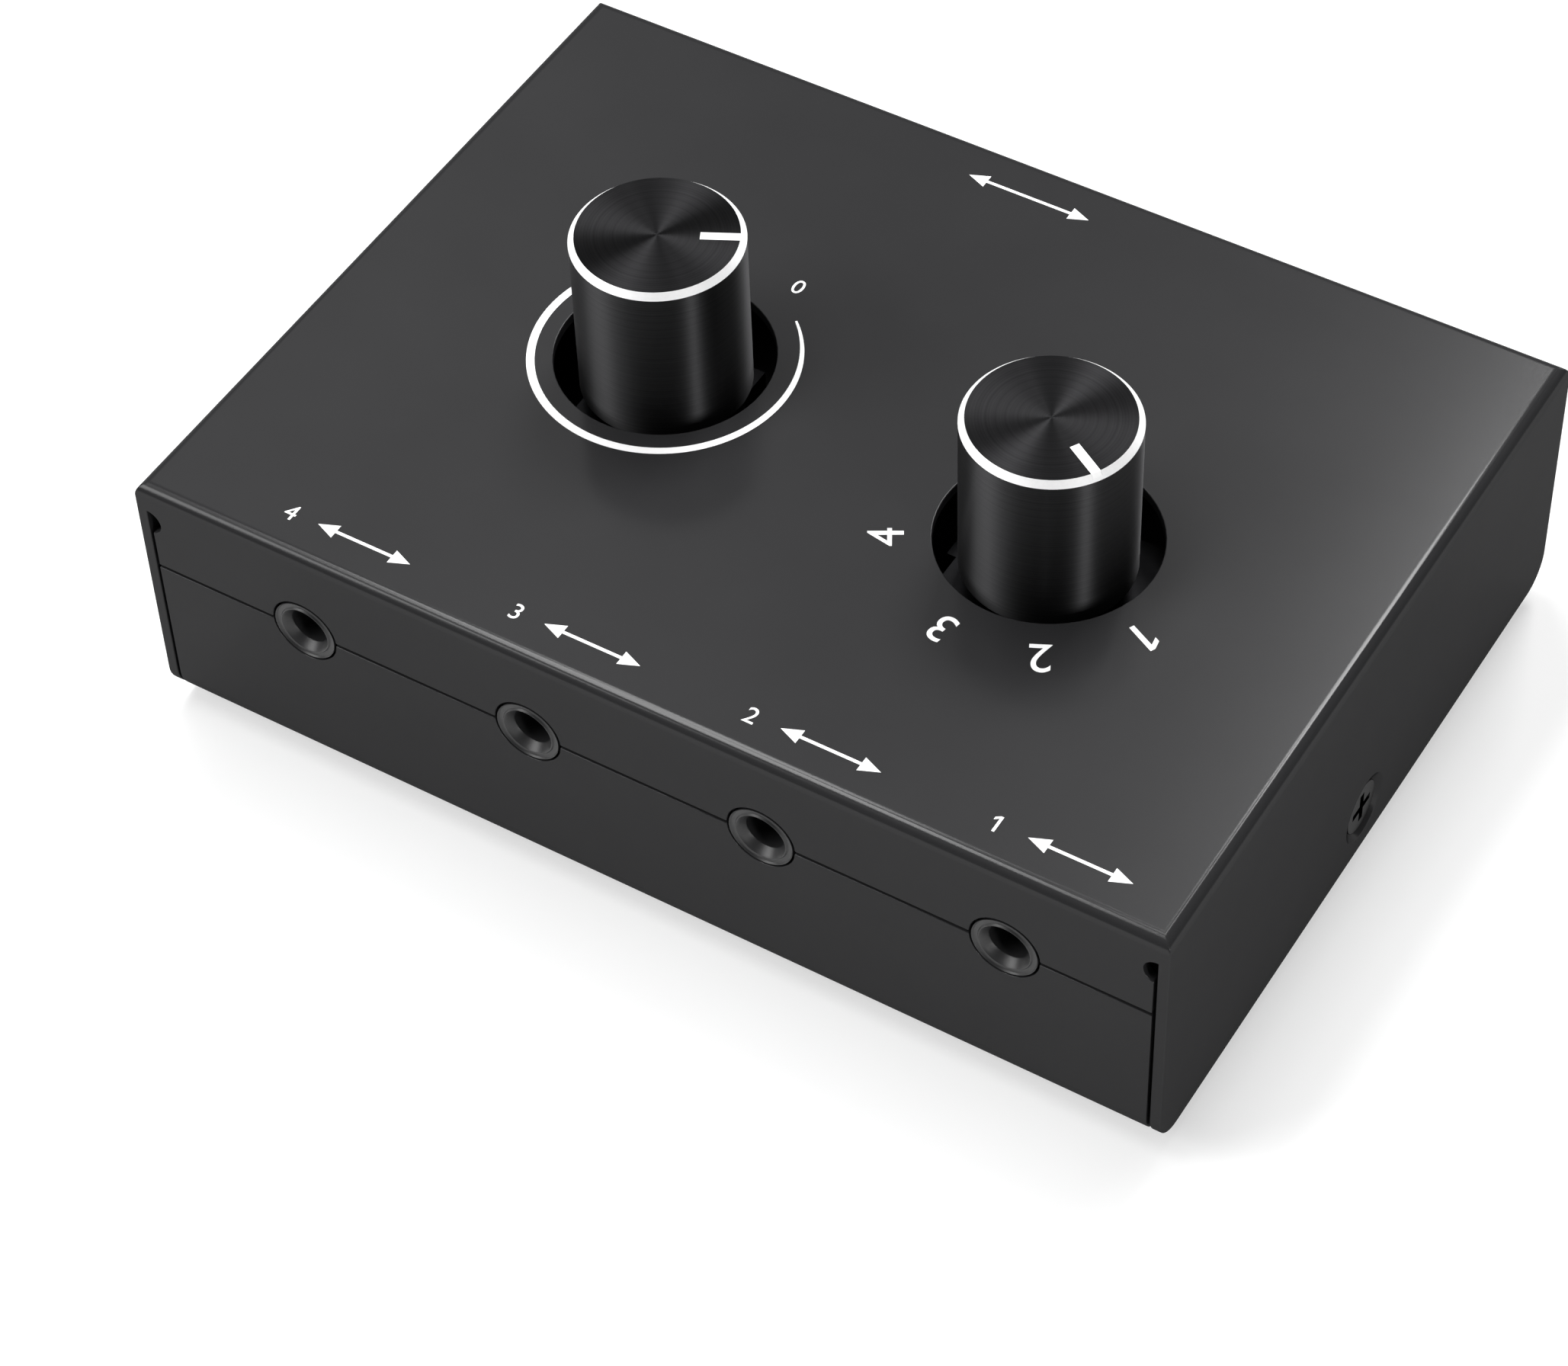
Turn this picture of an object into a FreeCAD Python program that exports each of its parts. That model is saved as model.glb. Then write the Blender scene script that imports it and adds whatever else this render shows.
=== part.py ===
import FreeCAD, Part
import math
import os

# Desktop speaker selector: a folded steel cover over a folded tray. Inside, one board
# carries five 3.5 mm jacks, a two-gang volume control and a four-way rotary switch.
# Millimetres. X runs along the long side, -Y is the face with four jacks, +Z is up,
# and the origin is on the table under the middle of the box.

# Sheet metal box
box_length = 98.0
box_depth = 72.0
box_height = 26.0
sheet = 1.0
cover_bend = 1.25
tray_bend = 3.0
seam = 0.3
seam_below_top = 9.3
relief_radius = 1.25
relief_drop = 4.0

# Feet under the tray
foot_height = 1.5
foot_width = 10.0
foot_chamfer = 0.5
foot_inset_x = 9.0
foot_inset_y = 9.0

# Screws that hold the cover to the tray's ears, one on each end
screw_height = 4.9
screw_head_radius = 2.8
screw_radius = 1.5
screw_length = 6.0
screw_sink = 0.3
countersink_radius = 3.3
thread_clearance = 0.02
ear_width = 14.0
ear_height = 9.5
ear_round = 2.0
ear_inset = 0.55

# Board and the four snap posts that hold it
board_thickness = 1.6
board_margin = 1.5
post_inset_x = 5.4
post_inset_y = 6.0
post_base = 6.0
post_base_height = 0.8
post_width = 3.6
post_neck = 2.0
post_neck_clearance = 0.15
post_barb = 0.6
post_barb_height = 0.4
post_head_height = 1.8
recess_width = 0.7
recess_depth = 0.9
recess_share = 0.55

# Solder pins
pin_width = 0.7
pin_hole_width = 1.1
pin_stub = 1.0

# Jacks
jack_left_margin = 16.4
jack_right_margin = 14.4
jack_count = 4
jack_axis_above_board = 3.2
jack_width = 11.0
jack_depth = 14.0
jack_above_axis = 3.1
jack_wall_gap = 0.2
barrel_radius = 3.0
panel_hole_radius = 3.2
bore_radius = 1.8
bore_guide = 4.0
mouth_radius = 2.35
mouth_depth = 0.8
chamber_half_width = 3.4
chamber_above = 2.2
chamber_below = 2.0
chamber_back_wall = 0.7
leaf = 0.3
leaf_gap = 0.15
leaf_height = 2.0
leaf_tail = 0.9
slot_clearance = 0.08

# Knobs
volume_from_end = 30.5
volume_from_front = 35.15
selector_from_end = 28.7
selector_from_front = 32.7
knob_radius = 7.5
knob_height = 16.5
knob_above_cover = 13.9
knob_hole_radius = 9.6
knob_wall = 0.8
knob_top = 1.0
knob_chamfer = 0.52
pointer_start = 3.6
pointer_width = 0.85
pointer_depth = 0.3
inlay_clearance = 0.02
core_hub_radius = 4.4
core_rib = 0.9
core_ribs = 6
core_rib_gap = 0.05
core_top = 1.2
core_above_neck = 0.9

# Shafts of both controls
shaft_radius = 3.0
shaft_flat = 1.5
shaft_end_gap = 0.6
running_clearance = 0.05
grip_clearance = 0.02
neck_radius = 3.6
neck_height = 1.8
neck_to_flat = 1.2
pivot_radius = 1.9
pivot_depth = 0.7
bracket_sheet = 0.8
bracket_leg = 3.0
part_gap = 0.1

# Volume control
volume_case_x = 12.0
volume_case_y = 12.6
volume_case_height = 7.0
volume_bore = 5.2
volume_rest_angle = 27.0
volume_travel = 280.0
volume_mid_angle = -90.0
volume_pin_pitch = 2.5
volume_pin_row = 5.0

# Rotary switch
selector_case_width = 15.8
selector_bore = 6.5
selector_case_height = 6.4
selector_first_angle = -31.0
selector_step = 40.0
selector_positions = 4
selector_poles = 3
detent_notch = 0.7
roller_radius = 0.45
spring_sheet = 0.2
spring_span = 56.0
pad_size = 1.6
pad_inset = 0.3
common_bar = 3.6
common_bar_width = 0.8
common_bar_gap = 0.5

# Inside both controls
wafer_thickness = 1.2
track = 0.5
wiper_sheet = 0.2
wiper_arm = 1.4
wiper_centre = 1.1
wiper_inset = 0.3
rotor_thickness = 2.4
rotor_radius_gap = 0.9
lug_root = 0.5
lug_half_angle = 14.0
stop_clearance = 1.0
stop_width = 1.2

# How far a cutting tool passes the face that it opens
over = 1.0

# Heights above the table
tray_z = foot_height
floor_z = tray_z + sheet
cover_z = tray_z + box_height
seam_z = cover_z - seam_below_top
board_top = seam_z - jack_axis_above_board
board_z = board_top - board_thickness
pin_end = board_z - pin_stub
knob_z = cover_z + knob_above_cover - knob_height
knob_top_z = knob_z + knob_height
relief_z = cover_z - relief_drop

half_length = box_length / 2
half_depth = box_depth / 2
end_face = half_length - sheet
tray_end = end_face - seam
wall_face = half_depth - sheet
screw_z = tray_z + screw_height
foot_spots = [(sx * (half_length - foot_inset_x), sy * (half_depth - foot_inset_y))
              for sy in (-1, 1) for sx in (-1, 1)]
board_half_x = end_face - board_margin
board_half_y = wall_face - board_margin
board_spots = [(sx * (half_length - post_inset_x), sy * (half_depth - post_inset_y))
               for sy in (-1, 1) for sx in (-1, 1)]
jack_pitch = (box_length - jack_left_margin - jack_right_margin) / (jack_count - 1)
jack_xs = [half_length - jack_right_margin - i * jack_pitch for i in range(jack_count)]
volume_x = volume_from_end - half_length
volume_y = volume_from_front - half_depth
selector_x = half_length - selector_from_end
selector_y = selector_from_front - half_depth

parts = {}


def vec(x, y, z):
    return FreeCAD.Vector(x, y, z)


def block(x0, x1, y0, y1, z0, z1):
    return Part.makeBox(x1 - x0, y1 - y0, z1 - z0, vec(x0, y0, z0))


def post(radius, z0, z1, x=0.0, y=0.0):
    return Part.makeCylinder(radius, z1 - z0, vec(x, y, z0))


def square(x, y, width, z0, z1):
    half = width / 2
    return block(x - half, x + half, y - half, y + half, z0, z1)


def rod_y(radius, y0, y1, x, z):
    return Part.makeCylinder(radius, y1 - y0, vec(x, y0, z), vec(0, 1, 0))


def fuse(shapes):
    return shapes[0].multiFuse(shapes[1:]).removeSplitter()


def round_edges(shape, radius, wanted):
    """Fillet the straight edges for which wanted(start, end) is true."""
    edges = [e for e in shape.Edges if len(e.Vertexes) == 2
             and wanted(e.Vertexes[0].Point, e.Vertexes[1].Point)]
    return shape.makeFillet(radius, edges)


def arc_block(x, y, r0, r1, a0, a1, z0, z1):
    """A block between two radii, from angle a0 to a1 in degrees about a vertical axis."""
    face = Part.makePolygon([vec(x + r0, y, z0), vec(x + r1, y, z0), vec(x + r1, y, z1),
                             vec(x + r0, y, z1), vec(x + r0, y, z0)])
    solid = Part.Face(face).revolve(vec(x, y, 0), vec(0, 0, 1), a1 - a0)
    return turned(solid, x, y, a0)


def turned(shape, x, y, angle):
    copy = shape.copy()
    copy.rotate(vec(x, y, 0), vec(0, 0, 1), angle)
    return copy


def same_height(a, b, z):
    return abs(a.z - z) < 1e-6 and abs(b.z - z) < 1e-6


def long_way(a, b):
    return abs(a.x - b.x) > box_length / 2


# Every hole that the walls share with the jacks: four in front, one at the back.
def panel_holes():
    near = wall_face - over
    far = half_depth + over
    front = [rod_y(panel_hole_radius, -far, -near, x, seam_z) for x in jack_xs]
    return front + [rod_y(panel_hole_radius, near, far, 0, seam_z)]


# The cover is one folded sheet: a top, two full-height ends, and two short flanges
# that stop at the seam. Relief holes end the slits at the four corners.
def top_cover():
    outline = block(-half_length, half_length, -half_depth, half_depth, tray_z, cover_z)
    shell = round_edges(outline, cover_bend, lambda a, b: same_height(a, b, cover_z))
    hollow = block(-end_face, end_face, -wall_face, wall_face, tray_z - over, cover_z - sheet)
    hollow = round_edges(hollow, cover_bend - sheet, lambda a, b: same_height(a, b, cover_z - sheet))
    cuts = [hollow]
    for side in (-1, 1):
        y0, y1 = sorted((side * (half_depth + over), side * (wall_face - over)))
        cuts.append(block(-end_face, end_face, y0, y1, tray_z - over, seam_z + seam / 2))
        for end in (-1, 1):
            x0, x1 = sorted((end * end_face, end * tray_end))
            cuts.append(block(x0, x1, y0, y1, seam_z, relief_z))
            hole = rod_y(relief_radius, y0, y1, end * end_face, relief_z)
            x0, x1 = sorted((0, end * end_face))
            inner_half = block(x0, x1, y0, y1, relief_z - relief_radius, relief_z + relief_radius)
            cuts.append(hole.common(inner_half))
    for x, y in ((volume_x, volume_y), (selector_x, selector_y)):
        cuts.append(post(knob_hole_radius, cover_z - sheet - over, cover_z + over, x, y))
    for end in (-1, 1):
        cuts.append(countersink(end))
    ends = round_edges(outline, tray_bend, lambda a, b: same_height(a, b, tray_z) and long_way(a, b))
    return shell.cut(cuts + panel_holes()).common(ends)


def countersink(end):
    """A right-angled cone that opens at an end's outer face, with a screw hole behind."""
    hole_radius = screw_radius + thread_clearance
    depth = countersink_radius - hole_radius
    face = vec(end * half_length, 0, screw_z)
    cone = Part.makeCone(countersink_radius, hole_radius, depth, face, vec(-end, 0, 0))
    hole = Part.makeCylinder(hole_radius, 2 * screw_length, face, vec(-end, 0, 0))
    return cone.fuse(hole)


# The tray is a U of the same sheet, with an upturned ear at each end for its screw.
def bottom_tray():
    def channel(inset, radius, z0):
        half_x = tray_end + inset
        half_y = half_depth - inset
        body = block(-half_x, half_x, -half_y, half_y, z0, cover_z)
        return round_edges(body, radius, lambda a, b: same_height(a, b, z0) and long_way(a, b))

    tray = channel(0, tray_bend, tray_z).cut(channel(sheet, tray_bend - sheet, floor_z))
    cuts = [block(-half_length, half_length, -box_depth, box_depth, seam_z - seam / 2, cover_z + over)]
    ears = []
    ear_top = tray_z + ear_height
    ear_face = tray_end - ear_inset
    for end in (-1, 1):
        x0, x1 = sorted((end * ear_face, end * (ear_face - sheet)))
        ear = block(x0, x1, -ear_width / 2, ear_width / 2, tray_z, ear_top)
        ears.append(round_edges(ear, ear_round,
                                lambda a, b: same_height(a, b, ear_top) and abs(a.x - b.x) > sheet / 2))
        outside = sorted((end * ear_face, end * half_length))
        cuts.append(block(*outside, -ear_width / 2, ear_width / 2, tray_z - over, floor_z + over))
        beside = sorted((end * (ear_face - 2 * sheet), end * half_length))
        for side in (-1, 1):
            y0, y1 = sorted((side * ear_width / 2, side * (ear_width / 2 + sheet)))
            cuts.append(block(*beside, y0, y1, tray_z - over, floor_z + over))
    tray = fuse([tray] + ears)
    return tray.cut(cuts + [countersink(end) for end in (-1, 1)] + panel_holes())


# Countersunk cross-recess screws, sunk a little below the end faces.
def cover_screws():
    screws = []
    for end in (-1, 1):
        outer = end * (half_length - screw_sink)
        face = vec(outer, 0, screw_z)
        inward = vec(-end, 0, 0)
        cone_depth = screw_head_radius - screw_radius
        head = Part.makeCone(screw_head_radius, screw_radius, cone_depth, face, inward)
        shank = Part.makeCylinder(screw_radius, screw_length, face, inward)
        x0, x1 = sorted((outer + end * over, outer - end * recess_depth))
        arm = screw_head_radius * recess_share
        half = recess_width / 2
        cross = [block(x0, x1, -arm, arm, screw_z - half, screw_z + half),
                 block(x0, x1, -half, half, screw_z - arm, screw_z + arm)]
        screws.append(fuse([head, shank]).cut(cross))
    return Part.makeCompound(screws)


# Stick-on rubber feet, chamfered where they meet the table.
def foot(x, y):
    pad = square(x, y, foot_width, 0, foot_height)
    rim = [e for e in pad.Edges if abs(e.CenterOfMass.z) < 1e-6]
    return pad.makeChamfer(foot_chamfer, rim)


# Moulded posts that stand on the tray and snap up through square holes in the board.
def board_posts():
    posts = []
    for x, y in board_spots:
        base = square(x, y, post_base, floor_z, floor_z + post_base_height)
        column = square(x, y, post_width, floor_z, board_z)
        neck = square(x, y, post_neck, board_z, board_top)
        half = post_neck / 2
        wide = half + post_barb
        profile = [(-half, 0), (-wide, 0), (-wide, post_barb_height), (-half, post_head_height),
                   (half, post_head_height), (wide, post_barb_height), (wide, 0), (half, 0), (-half, 0)]
        outline = Part.makePolygon([vec(x + px, y - half, board_top + pz) for px, pz in profile])
        head = Part.Face(outline).extrude(vec(0, post_neck, 0))
        posts.append(fuse([base, column, neck, head]))
    return Part.makeCompound(posts)


# A jack is written facing -Y at x = 0 and turned into place. Its housing is a moulded
# block with a barrel that fills the panel hole and a bore for a 3.5 mm plug.
jack_face = -half_depth
block_face = -wall_face + jack_wall_gap
block_back = block_face + jack_depth
guide_end = jack_face + mouth_depth + bore_guide
chamber_end = block_back - chamber_back_wall


def jack_leaves():
    """Each contact leaf: its side of the bore, its ends along the bore and its tail's place."""
    length = (chamber_end - guide_end - 4 * slot_clearance) / 3
    leaves = []
    for i, side in enumerate((1, -1, 1)):
        y0 = guide_end + slot_clearance + i * (length + slot_clearance)
        leaves.append((side, y0, y0 + length, y0 + length - leaf_tail))
    return leaves


def jack_housing():
    half = jack_width / 2
    body = block(-half, half, block_face, block_back, board_top, seam_z + jack_above_axis)
    body = fuse([body, rod_y(barrel_radius, jack_face, block_face + over, 0, seam_z)])
    mouth = Part.makeCone(mouth_radius, bore_radius, mouth_depth, vec(0, jack_face, seam_z), vec(0, 1, 0))
    bore = rod_y(bore_radius, jack_face, guide_end + over, 0, seam_z)
    chamber = block(-chamber_half_width, chamber_half_width, guide_end, chamber_end,
                    seam_z - chamber_below, seam_z + chamber_above)
    slots = []
    for side, y0, y1, tail in jack_leaves():
        x0, x1 = sorted((side * (bore_radius + leaf_gap), side * (bore_radius + leaf_gap + leaf)))
        slots.append(block(x0 - slot_clearance, x1 + slot_clearance, tail - slot_clearance,
                           tail + leaf_tail + slot_clearance, board_top - over, seam_z))
    return body.cut([mouth, bore, chamber] + slots)


def jack_contacts():
    leaves = []
    for side, y0, y1, tail in jack_leaves():
        x0, x1 = sorted((side * (bore_radius + leaf_gap), side * (bore_radius + leaf_gap + leaf)))
        blade = block(x0, x1, y0, y1, seam_z - leaf_height / 2, seam_z + leaf_height / 2)
        leg = block(x0, x1, tail, tail + leaf_tail, pin_end, seam_z)
        leaves.append(fuse([blade, leg]))
    return Part.makeCompound(leaves)


def jack_pin_spots():
    spots = []
    for side, y0, y1, tail in jack_leaves():
        spots.append((side * (bore_radius + leaf_gap + leaf / 2), tail + leaf_tail / 2))
    return spots


jack_places = [("jack_%d" % (i + 1), x, 0) for i, x in enumerate(jack_xs)] + [("jack_common", 0.0, 180)]


def placed(shape, x, angle):
    copy = turned(shape, 0, 0, angle)
    copy.translate(vec(x, 0, 0))
    return copy


# Solder pins under the volume control stand in two rows of three, one row per gang.
def volume_pin_spots():
    return [(volume_x + i * volume_pin_pitch, volume_y + row * volume_pin_row / 2)
            for row in (-1, 1) for i in (-1, 0, 1)]


# Angles of the switch's fixed contacts: one for each throw, and one for each pole inside them.
def throw_angles():
    throws = selector_positions * selector_poles
    return [selector_first_angle - i * 360.0 / throws for i in range(throws)]


def pole_angles():
    return [90 + i * 360.0 / selector_poles for i in range(selector_poles)]


pad_outer = selector_bore - rotor_radius_gap - pad_inset
bar_inner = pivot_radius + common_bar_gap


def selector_pin_spots():
    rings = [(pad_outer - pad_size / 2, throw_angles()), (bar_inner + common_bar_width / 2, pole_angles())]
    return [(selector_x + r * math.cos(math.radians(a)), selector_y + r * math.sin(math.radians(a)))
            for r, angles in rings for a in angles]


def pins(spots):
    return Part.makeCompound([square(x, y, pin_width, pin_end, board_top) for x, y in spots])


def bracket_leg_blocks(x, y, reach, z1, grow):
    """The two legs that stake a control's steel bracket into the board."""
    legs = []
    for side in (-1, 1):
        x0, x1 = sorted((x + side * (reach + part_gap), x + side * (reach + part_gap + bracket_sheet)))
        legs.append(block(x0 - grow, x1 + grow, y - bracket_leg / 2 - grow, y + bracket_leg / 2 + grow,
                          pin_end - grow, z1))
    return legs


def circuit_board():
    board = block(-board_half_x, board_half_x, -board_half_y, board_half_y, board_z, board_top)
    spots = volume_pin_spots() + selector_pin_spots()
    for name, x, angle in jack_places:
        turn = -1 if angle else 1
        spots += [(x + turn * px, turn * py) for px, py in jack_pin_spots()]
    neck_hole = post_neck + 2 * post_neck_clearance
    cuts = []
    for width, places in ((pin_hole_width, spots), (neck_hole, board_spots)):
        cuts += [square(x, y, width, board_z - over, board_top + over) for x, y in places]
    controls = [(volume_x, volume_y, volume_case_x), (selector_x, selector_y, selector_case_width)]
    for x, y, width in controls:
        cuts += bracket_leg_blocks(x, y, width / 2, board_top + over, slot_clearance)
    return board.cut(cuts)


# Both controls are stacked alike: wafer with its contacts, wiper, rotor in its case, bracket, shaft.
track_z = board_top + wafer_thickness
pivot_z = track_z - pivot_depth
case_z = track_z + track
wiper_z = case_z + part_gap
rotor_z = wiper_z + wiper_sheet
rotor_top = rotor_z + rotor_thickness
lug_top = rotor_z + rotor_thickness / 2


def plate(x, y, half_x, half_y, z0, z1):
    return block(x - half_x, x + half_x, y - half_y, y + half_y, z0, z1)


def wafer(x, y, half_x, half_y, top):
    """The insulating plate under a control, with the hole in which the shaft's end turns."""
    hole = post(pivot_radius + running_clearance, board_top - over, top + over, x, y)
    return plate(x, y, half_x, half_y, board_top, top).cut(hole)


def case(x, y, half_x, half_y, bore, z0, z1, middle, travel):
    """A moulded frame round the rotor, with the two stops that the rotor's lug meets."""
    body = plate(x, y, half_x, half_y, z0, z1).cut(post(bore, z0 - over, z1 + over, x, y))
    swing = travel / 2 + lug_half_angle + stop_clearance
    stops = []
    for side in (-1, 1):
        y0, y1 = sorted((0, side * stop_width))
        stop = block(x + bore - rotor_radius_gap + part_gap, x + bore + part_gap,
                     y + y0, y + y1, z0, lug_top)
        stops.append(turned(stop, x, y, middle + side * swing))
    return fuse([body] + stops)


def rotor(x, y, bore, radius, rest, notches):
    """A moulded disc on the shaft, with the lug that ends its travel."""
    disc = post(radius, rotor_z, rotor_top, x, y)
    if notches:
        disc = disc.cut(notches)
    root = radius - detent_notch - lug_root
    lug = arc_block(x, y, root, bore - part_gap, rest - lug_half_angle, rest + lug_half_angle,
                    rotor_z, lug_top)
    hole = post(pivot_radius + grip_clearance, rotor_z - over, rotor_top + over, x, y)
    return fuse([disc, lug]).cut(hole)


def shaft(x, y, neck_top, rest):
    """Turned steel: a lower end for the rotor, then the bearing length and a flat for the knob."""
    top = knob_top_z - knob_top - core_top - shaft_end_gap
    body = fuse([post(pivot_radius, pivot_z, rotor_top, x, y),
                 post(shaft_radius, rotor_top, top, x, y)])
    flat = block(x + shaft_flat, x + 2 * shaft_radius, y - shaft_radius,
                 y + shaft_radius, neck_top + neck_to_flat, top + over)
    return body.cut(turned(flat, x, y, rest))


def bracket(x, y, half_x, half_y, z):
    """A pressed steel top plate with a bearing neck and two staked legs."""
    top = z + bracket_sheet
    neck = post(neck_radius, z, top + neck_height, x, y)
    arms = plate(x, y, half_x + part_gap + bracket_sheet, bracket_leg / 2, z, top)
    body = fuse([plate(x, y, half_x, half_y, z, top), neck, arms] + bracket_leg_blocks(x, y, half_x, top, 0))
    bore = post(shaft_radius + running_clearance, z - over, top + neck_height + over, x, y)
    return body.cut(bore)


def wiper(x, y, bore, arms, rest):
    """A thin spring plate under the rotor with arms that reach over the track."""
    reach = bore - rotor_radius_gap - wiper_inset
    middle = pivot_radius + wiper_centre
    body = [plate(x, y, middle, middle, wiper_z, rotor_z)]
    for i in range(arms):
        arm = block(x + pivot_radius, x + reach, y - wiper_arm / 2, y + wiper_arm / 2,
                    wiper_z, rotor_z)
        body.append(turned(arm, x, y, 360.0 * i / arms))
    hole = post(pivot_radius + grip_clearance, wiper_z - over, rotor_z + over, x, y)
    return turned(fuse(body).cut(hole), x, y, rest)


def volume_control():
    x, y = volume_x, volume_y
    top = board_top + volume_case_height
    half_x = volume_case_x / 2
    half_y = volume_case_y / 2
    parts["volume_track"] = wafer(x, y, half_x, half_y, case_z)
    parts["volume_case"] = case(x, y, half_x, half_y, volume_bore, case_z, top,
                                volume_mid_angle, volume_travel)
    parts["volume_wiper"] = wiper(x, y, volume_bore, 2, volume_rest_angle)
    parts["volume_rotor"] = rotor(x, y, volume_bore, volume_bore - rotor_radius_gap, volume_rest_angle, [])
    parts["volume_bracket"] = bracket(x, y, half_x, half_y, top)
    parts["volume_shaft"] = shaft(x, y, top + bracket_sheet + neck_height, volume_rest_angle)
    parts["volume_terminals"] = pins(volume_pin_spots())


# The throws' pads and the poles' bars lie on the wafer, under the wiper's arms.
def selector_contacts():
    pad = block(selector_x + pad_outer - pad_size, selector_x + pad_outer, selector_y - pad_size / 2,
                selector_y + pad_size / 2, track_z, case_z)
    bar = block(selector_x + bar_inner, selector_x + bar_inner + common_bar_width,
                selector_y - common_bar / 2, selector_y + common_bar / 2, track_z, case_z)
    pieces = [turned(pad, selector_x, selector_y, angle) for angle in throw_angles()]
    pieces += [turned(bar, selector_x, selector_y, angle) for angle in pole_angles()]
    return Part.makeCompound(pieces)


# The rotor is a star wheel, and a roller on a curved leaf drops into its notches above the lug.
def detent(middle):
    x, y = selector_x, selector_y
    spring_outer = selector_bore - inlay_clearance
    roller_at = spring_outer - spring_sheet - inlay_clearance - roller_radius
    star_radius = roller_at - roller_radius - running_clearance
    rim = x + star_radius + part_gap
    corners = [(rim - detent_notch, 0), (rim, detent_notch), (rim, -detent_notch), (rim - detent_notch, 0)]
    outline = Part.makePolygon([vec(px, y + py, wiper_z) for px, py in corners])
    notch = Part.Face(outline).extrude(vec(0, 0, 2 * rotor_thickness))
    notches = [turned(notch, x, y, middle + 180 + i * selector_step)
               for i in range(int(360 // selector_step))]
    roller = post(roller_radius, lug_top + inlay_clearance, rotor_top, x + roller_at, y)
    spring = arc_block(x, y, spring_outer - spring_sheet, spring_outer, -spring_span / 2,
                       spring_span / 2, lug_top + inlay_clearance, rotor_top)
    parts["selector_rotor"] = rotor(x, y, selector_bore, star_radius, selector_first_angle, notches)
    parts["selector_detent_roller"] = turned(roller, x, y, middle + 180)
    parts["selector_detent_spring"] = turned(spring, x, y, middle + 180)


def selector_switch():
    x, y = selector_x, selector_y
    top = board_top + selector_case_height
    travel = selector_step * (selector_positions - 1)
    middle = selector_first_angle - travel / 2
    half = selector_case_width / 2
    parts["selector_wafer"] = wafer(x, y, half, half, track_z)
    parts["selector_contacts"] = selector_contacts()
    parts["selector_case"] = case(x, y, half, half, selector_bore, track_z, top, middle, travel)
    parts["selector_wiper"] = wiper(x, y, selector_bore, selector_poles, selector_first_angle)
    detent(middle)
    parts["selector_bracket"] = bracket(x, y, half, half, top)
    parts["selector_shaft"] = shaft(x, y, top + bracket_sheet + neck_height, selector_first_angle)
    parts["selector_terminals"] = pins(selector_pin_spots())


# A knob is a turned aluminium cup with a bright chamfer and an inlaid pointer.
# A moulded core with ribs fills it and grips the flat of the shaft.
def knob_blank(x, y):
    blank = post(knob_radius, knob_z, knob_top_z, x, y)
    rim = [e for e in blank.Edges if len(e.Vertexes) == 1 and abs(e.CenterOfMass.z - knob_top_z) < 1e-6]
    return blank.makeChamfer(knob_chamfer, rim)


def pointer_bar(x, y, rest, grow):
    half = pointer_width / 2 + grow
    bar = block(x + pointer_start - grow, x + knob_radius + over, y - half, y + half,
                knob_top_z - pointer_depth - grow, knob_top_z + over)
    return turned(bar, x, y, rest)


def knob_core(x, y, rest, neck_top):
    outer = knob_radius - knob_wall - core_rib_gap
    low = neck_top + core_above_neck
    top = knob_top_z - knob_top
    body = [post(core_hub_radius, low, top, x, y)]
    for i in range(core_ribs):
        rib = block(x + core_hub_radius - core_rib / 2, x + outer, y - core_rib / 2,
                    y + core_rib / 2, low, top)
        body.append(turned(rib, x, y, rest + 360.0 * (i + 1 / 2) / core_ribs))
    grip = post(shaft_radius + grip_clearance, low - over, top - core_top, x, y)
    keep = block(x + shaft_flat + grip_clearance, x + 2 * shaft_radius, y - 2 * shaft_radius,
                 y + 2 * shaft_radius, neck_top + neck_to_flat + part_gap, knob_top_z)
    return fuse(body).cut(grip.cut(turned(keep, x, y, rest)))


def knob(name, x, y, rest, neck_top):
    blank = knob_blank(x, y)
    hollow = post(knob_radius - knob_wall, knob_z - over, knob_top_z - knob_top, x, y)
    parts[name + "_knob_shell"] = blank.cut([hollow, pointer_bar(x, y, rest, inlay_clearance)])
    parts[name + "_knob_pointer"] = pointer_bar(x, y, rest, 0).common(blank)
    parts[name + "_knob_core"] = knob_core(x, y, rest, neck_top)


parts["top_cover"] = top_cover()
parts["bottom_tray"] = bottom_tray()
parts["cover_screws"] = cover_screws()
foot_names = ("front_left", "front_right", "rear_left", "rear_right")
for foot_name, (foot_x, foot_y) in zip(foot_names, foot_spots):
    parts["foot_" + foot_name] = foot(foot_x, foot_y)
parts["board_posts"] = board_posts()
parts["circuit_board"] = circuit_board()
housing_model = jack_housing()
contacts_model = jack_contacts()
for jack_name, jack_x, jack_turn in jack_places:
    parts[jack_name + "_housing"] = placed(housing_model, jack_x, jack_turn)
    parts[jack_name + "_contacts"] = placed(contacts_model, jack_x, jack_turn)
volume_control()
selector_switch()
neck_above_board = bracket_sheet + neck_height + board_top
knob("volume", volume_x, volume_y, volume_rest_angle, volume_case_height + neck_above_board)
knob("selector", selector_x, selector_y, selector_first_angle, selector_case_height + neck_above_board)

os.makedirs("parts", exist_ok=True)
for node, shape in parts.items():
    shape.exportStep("parts/%s.step" % node)
print(len(parts), "parts written")
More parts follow.
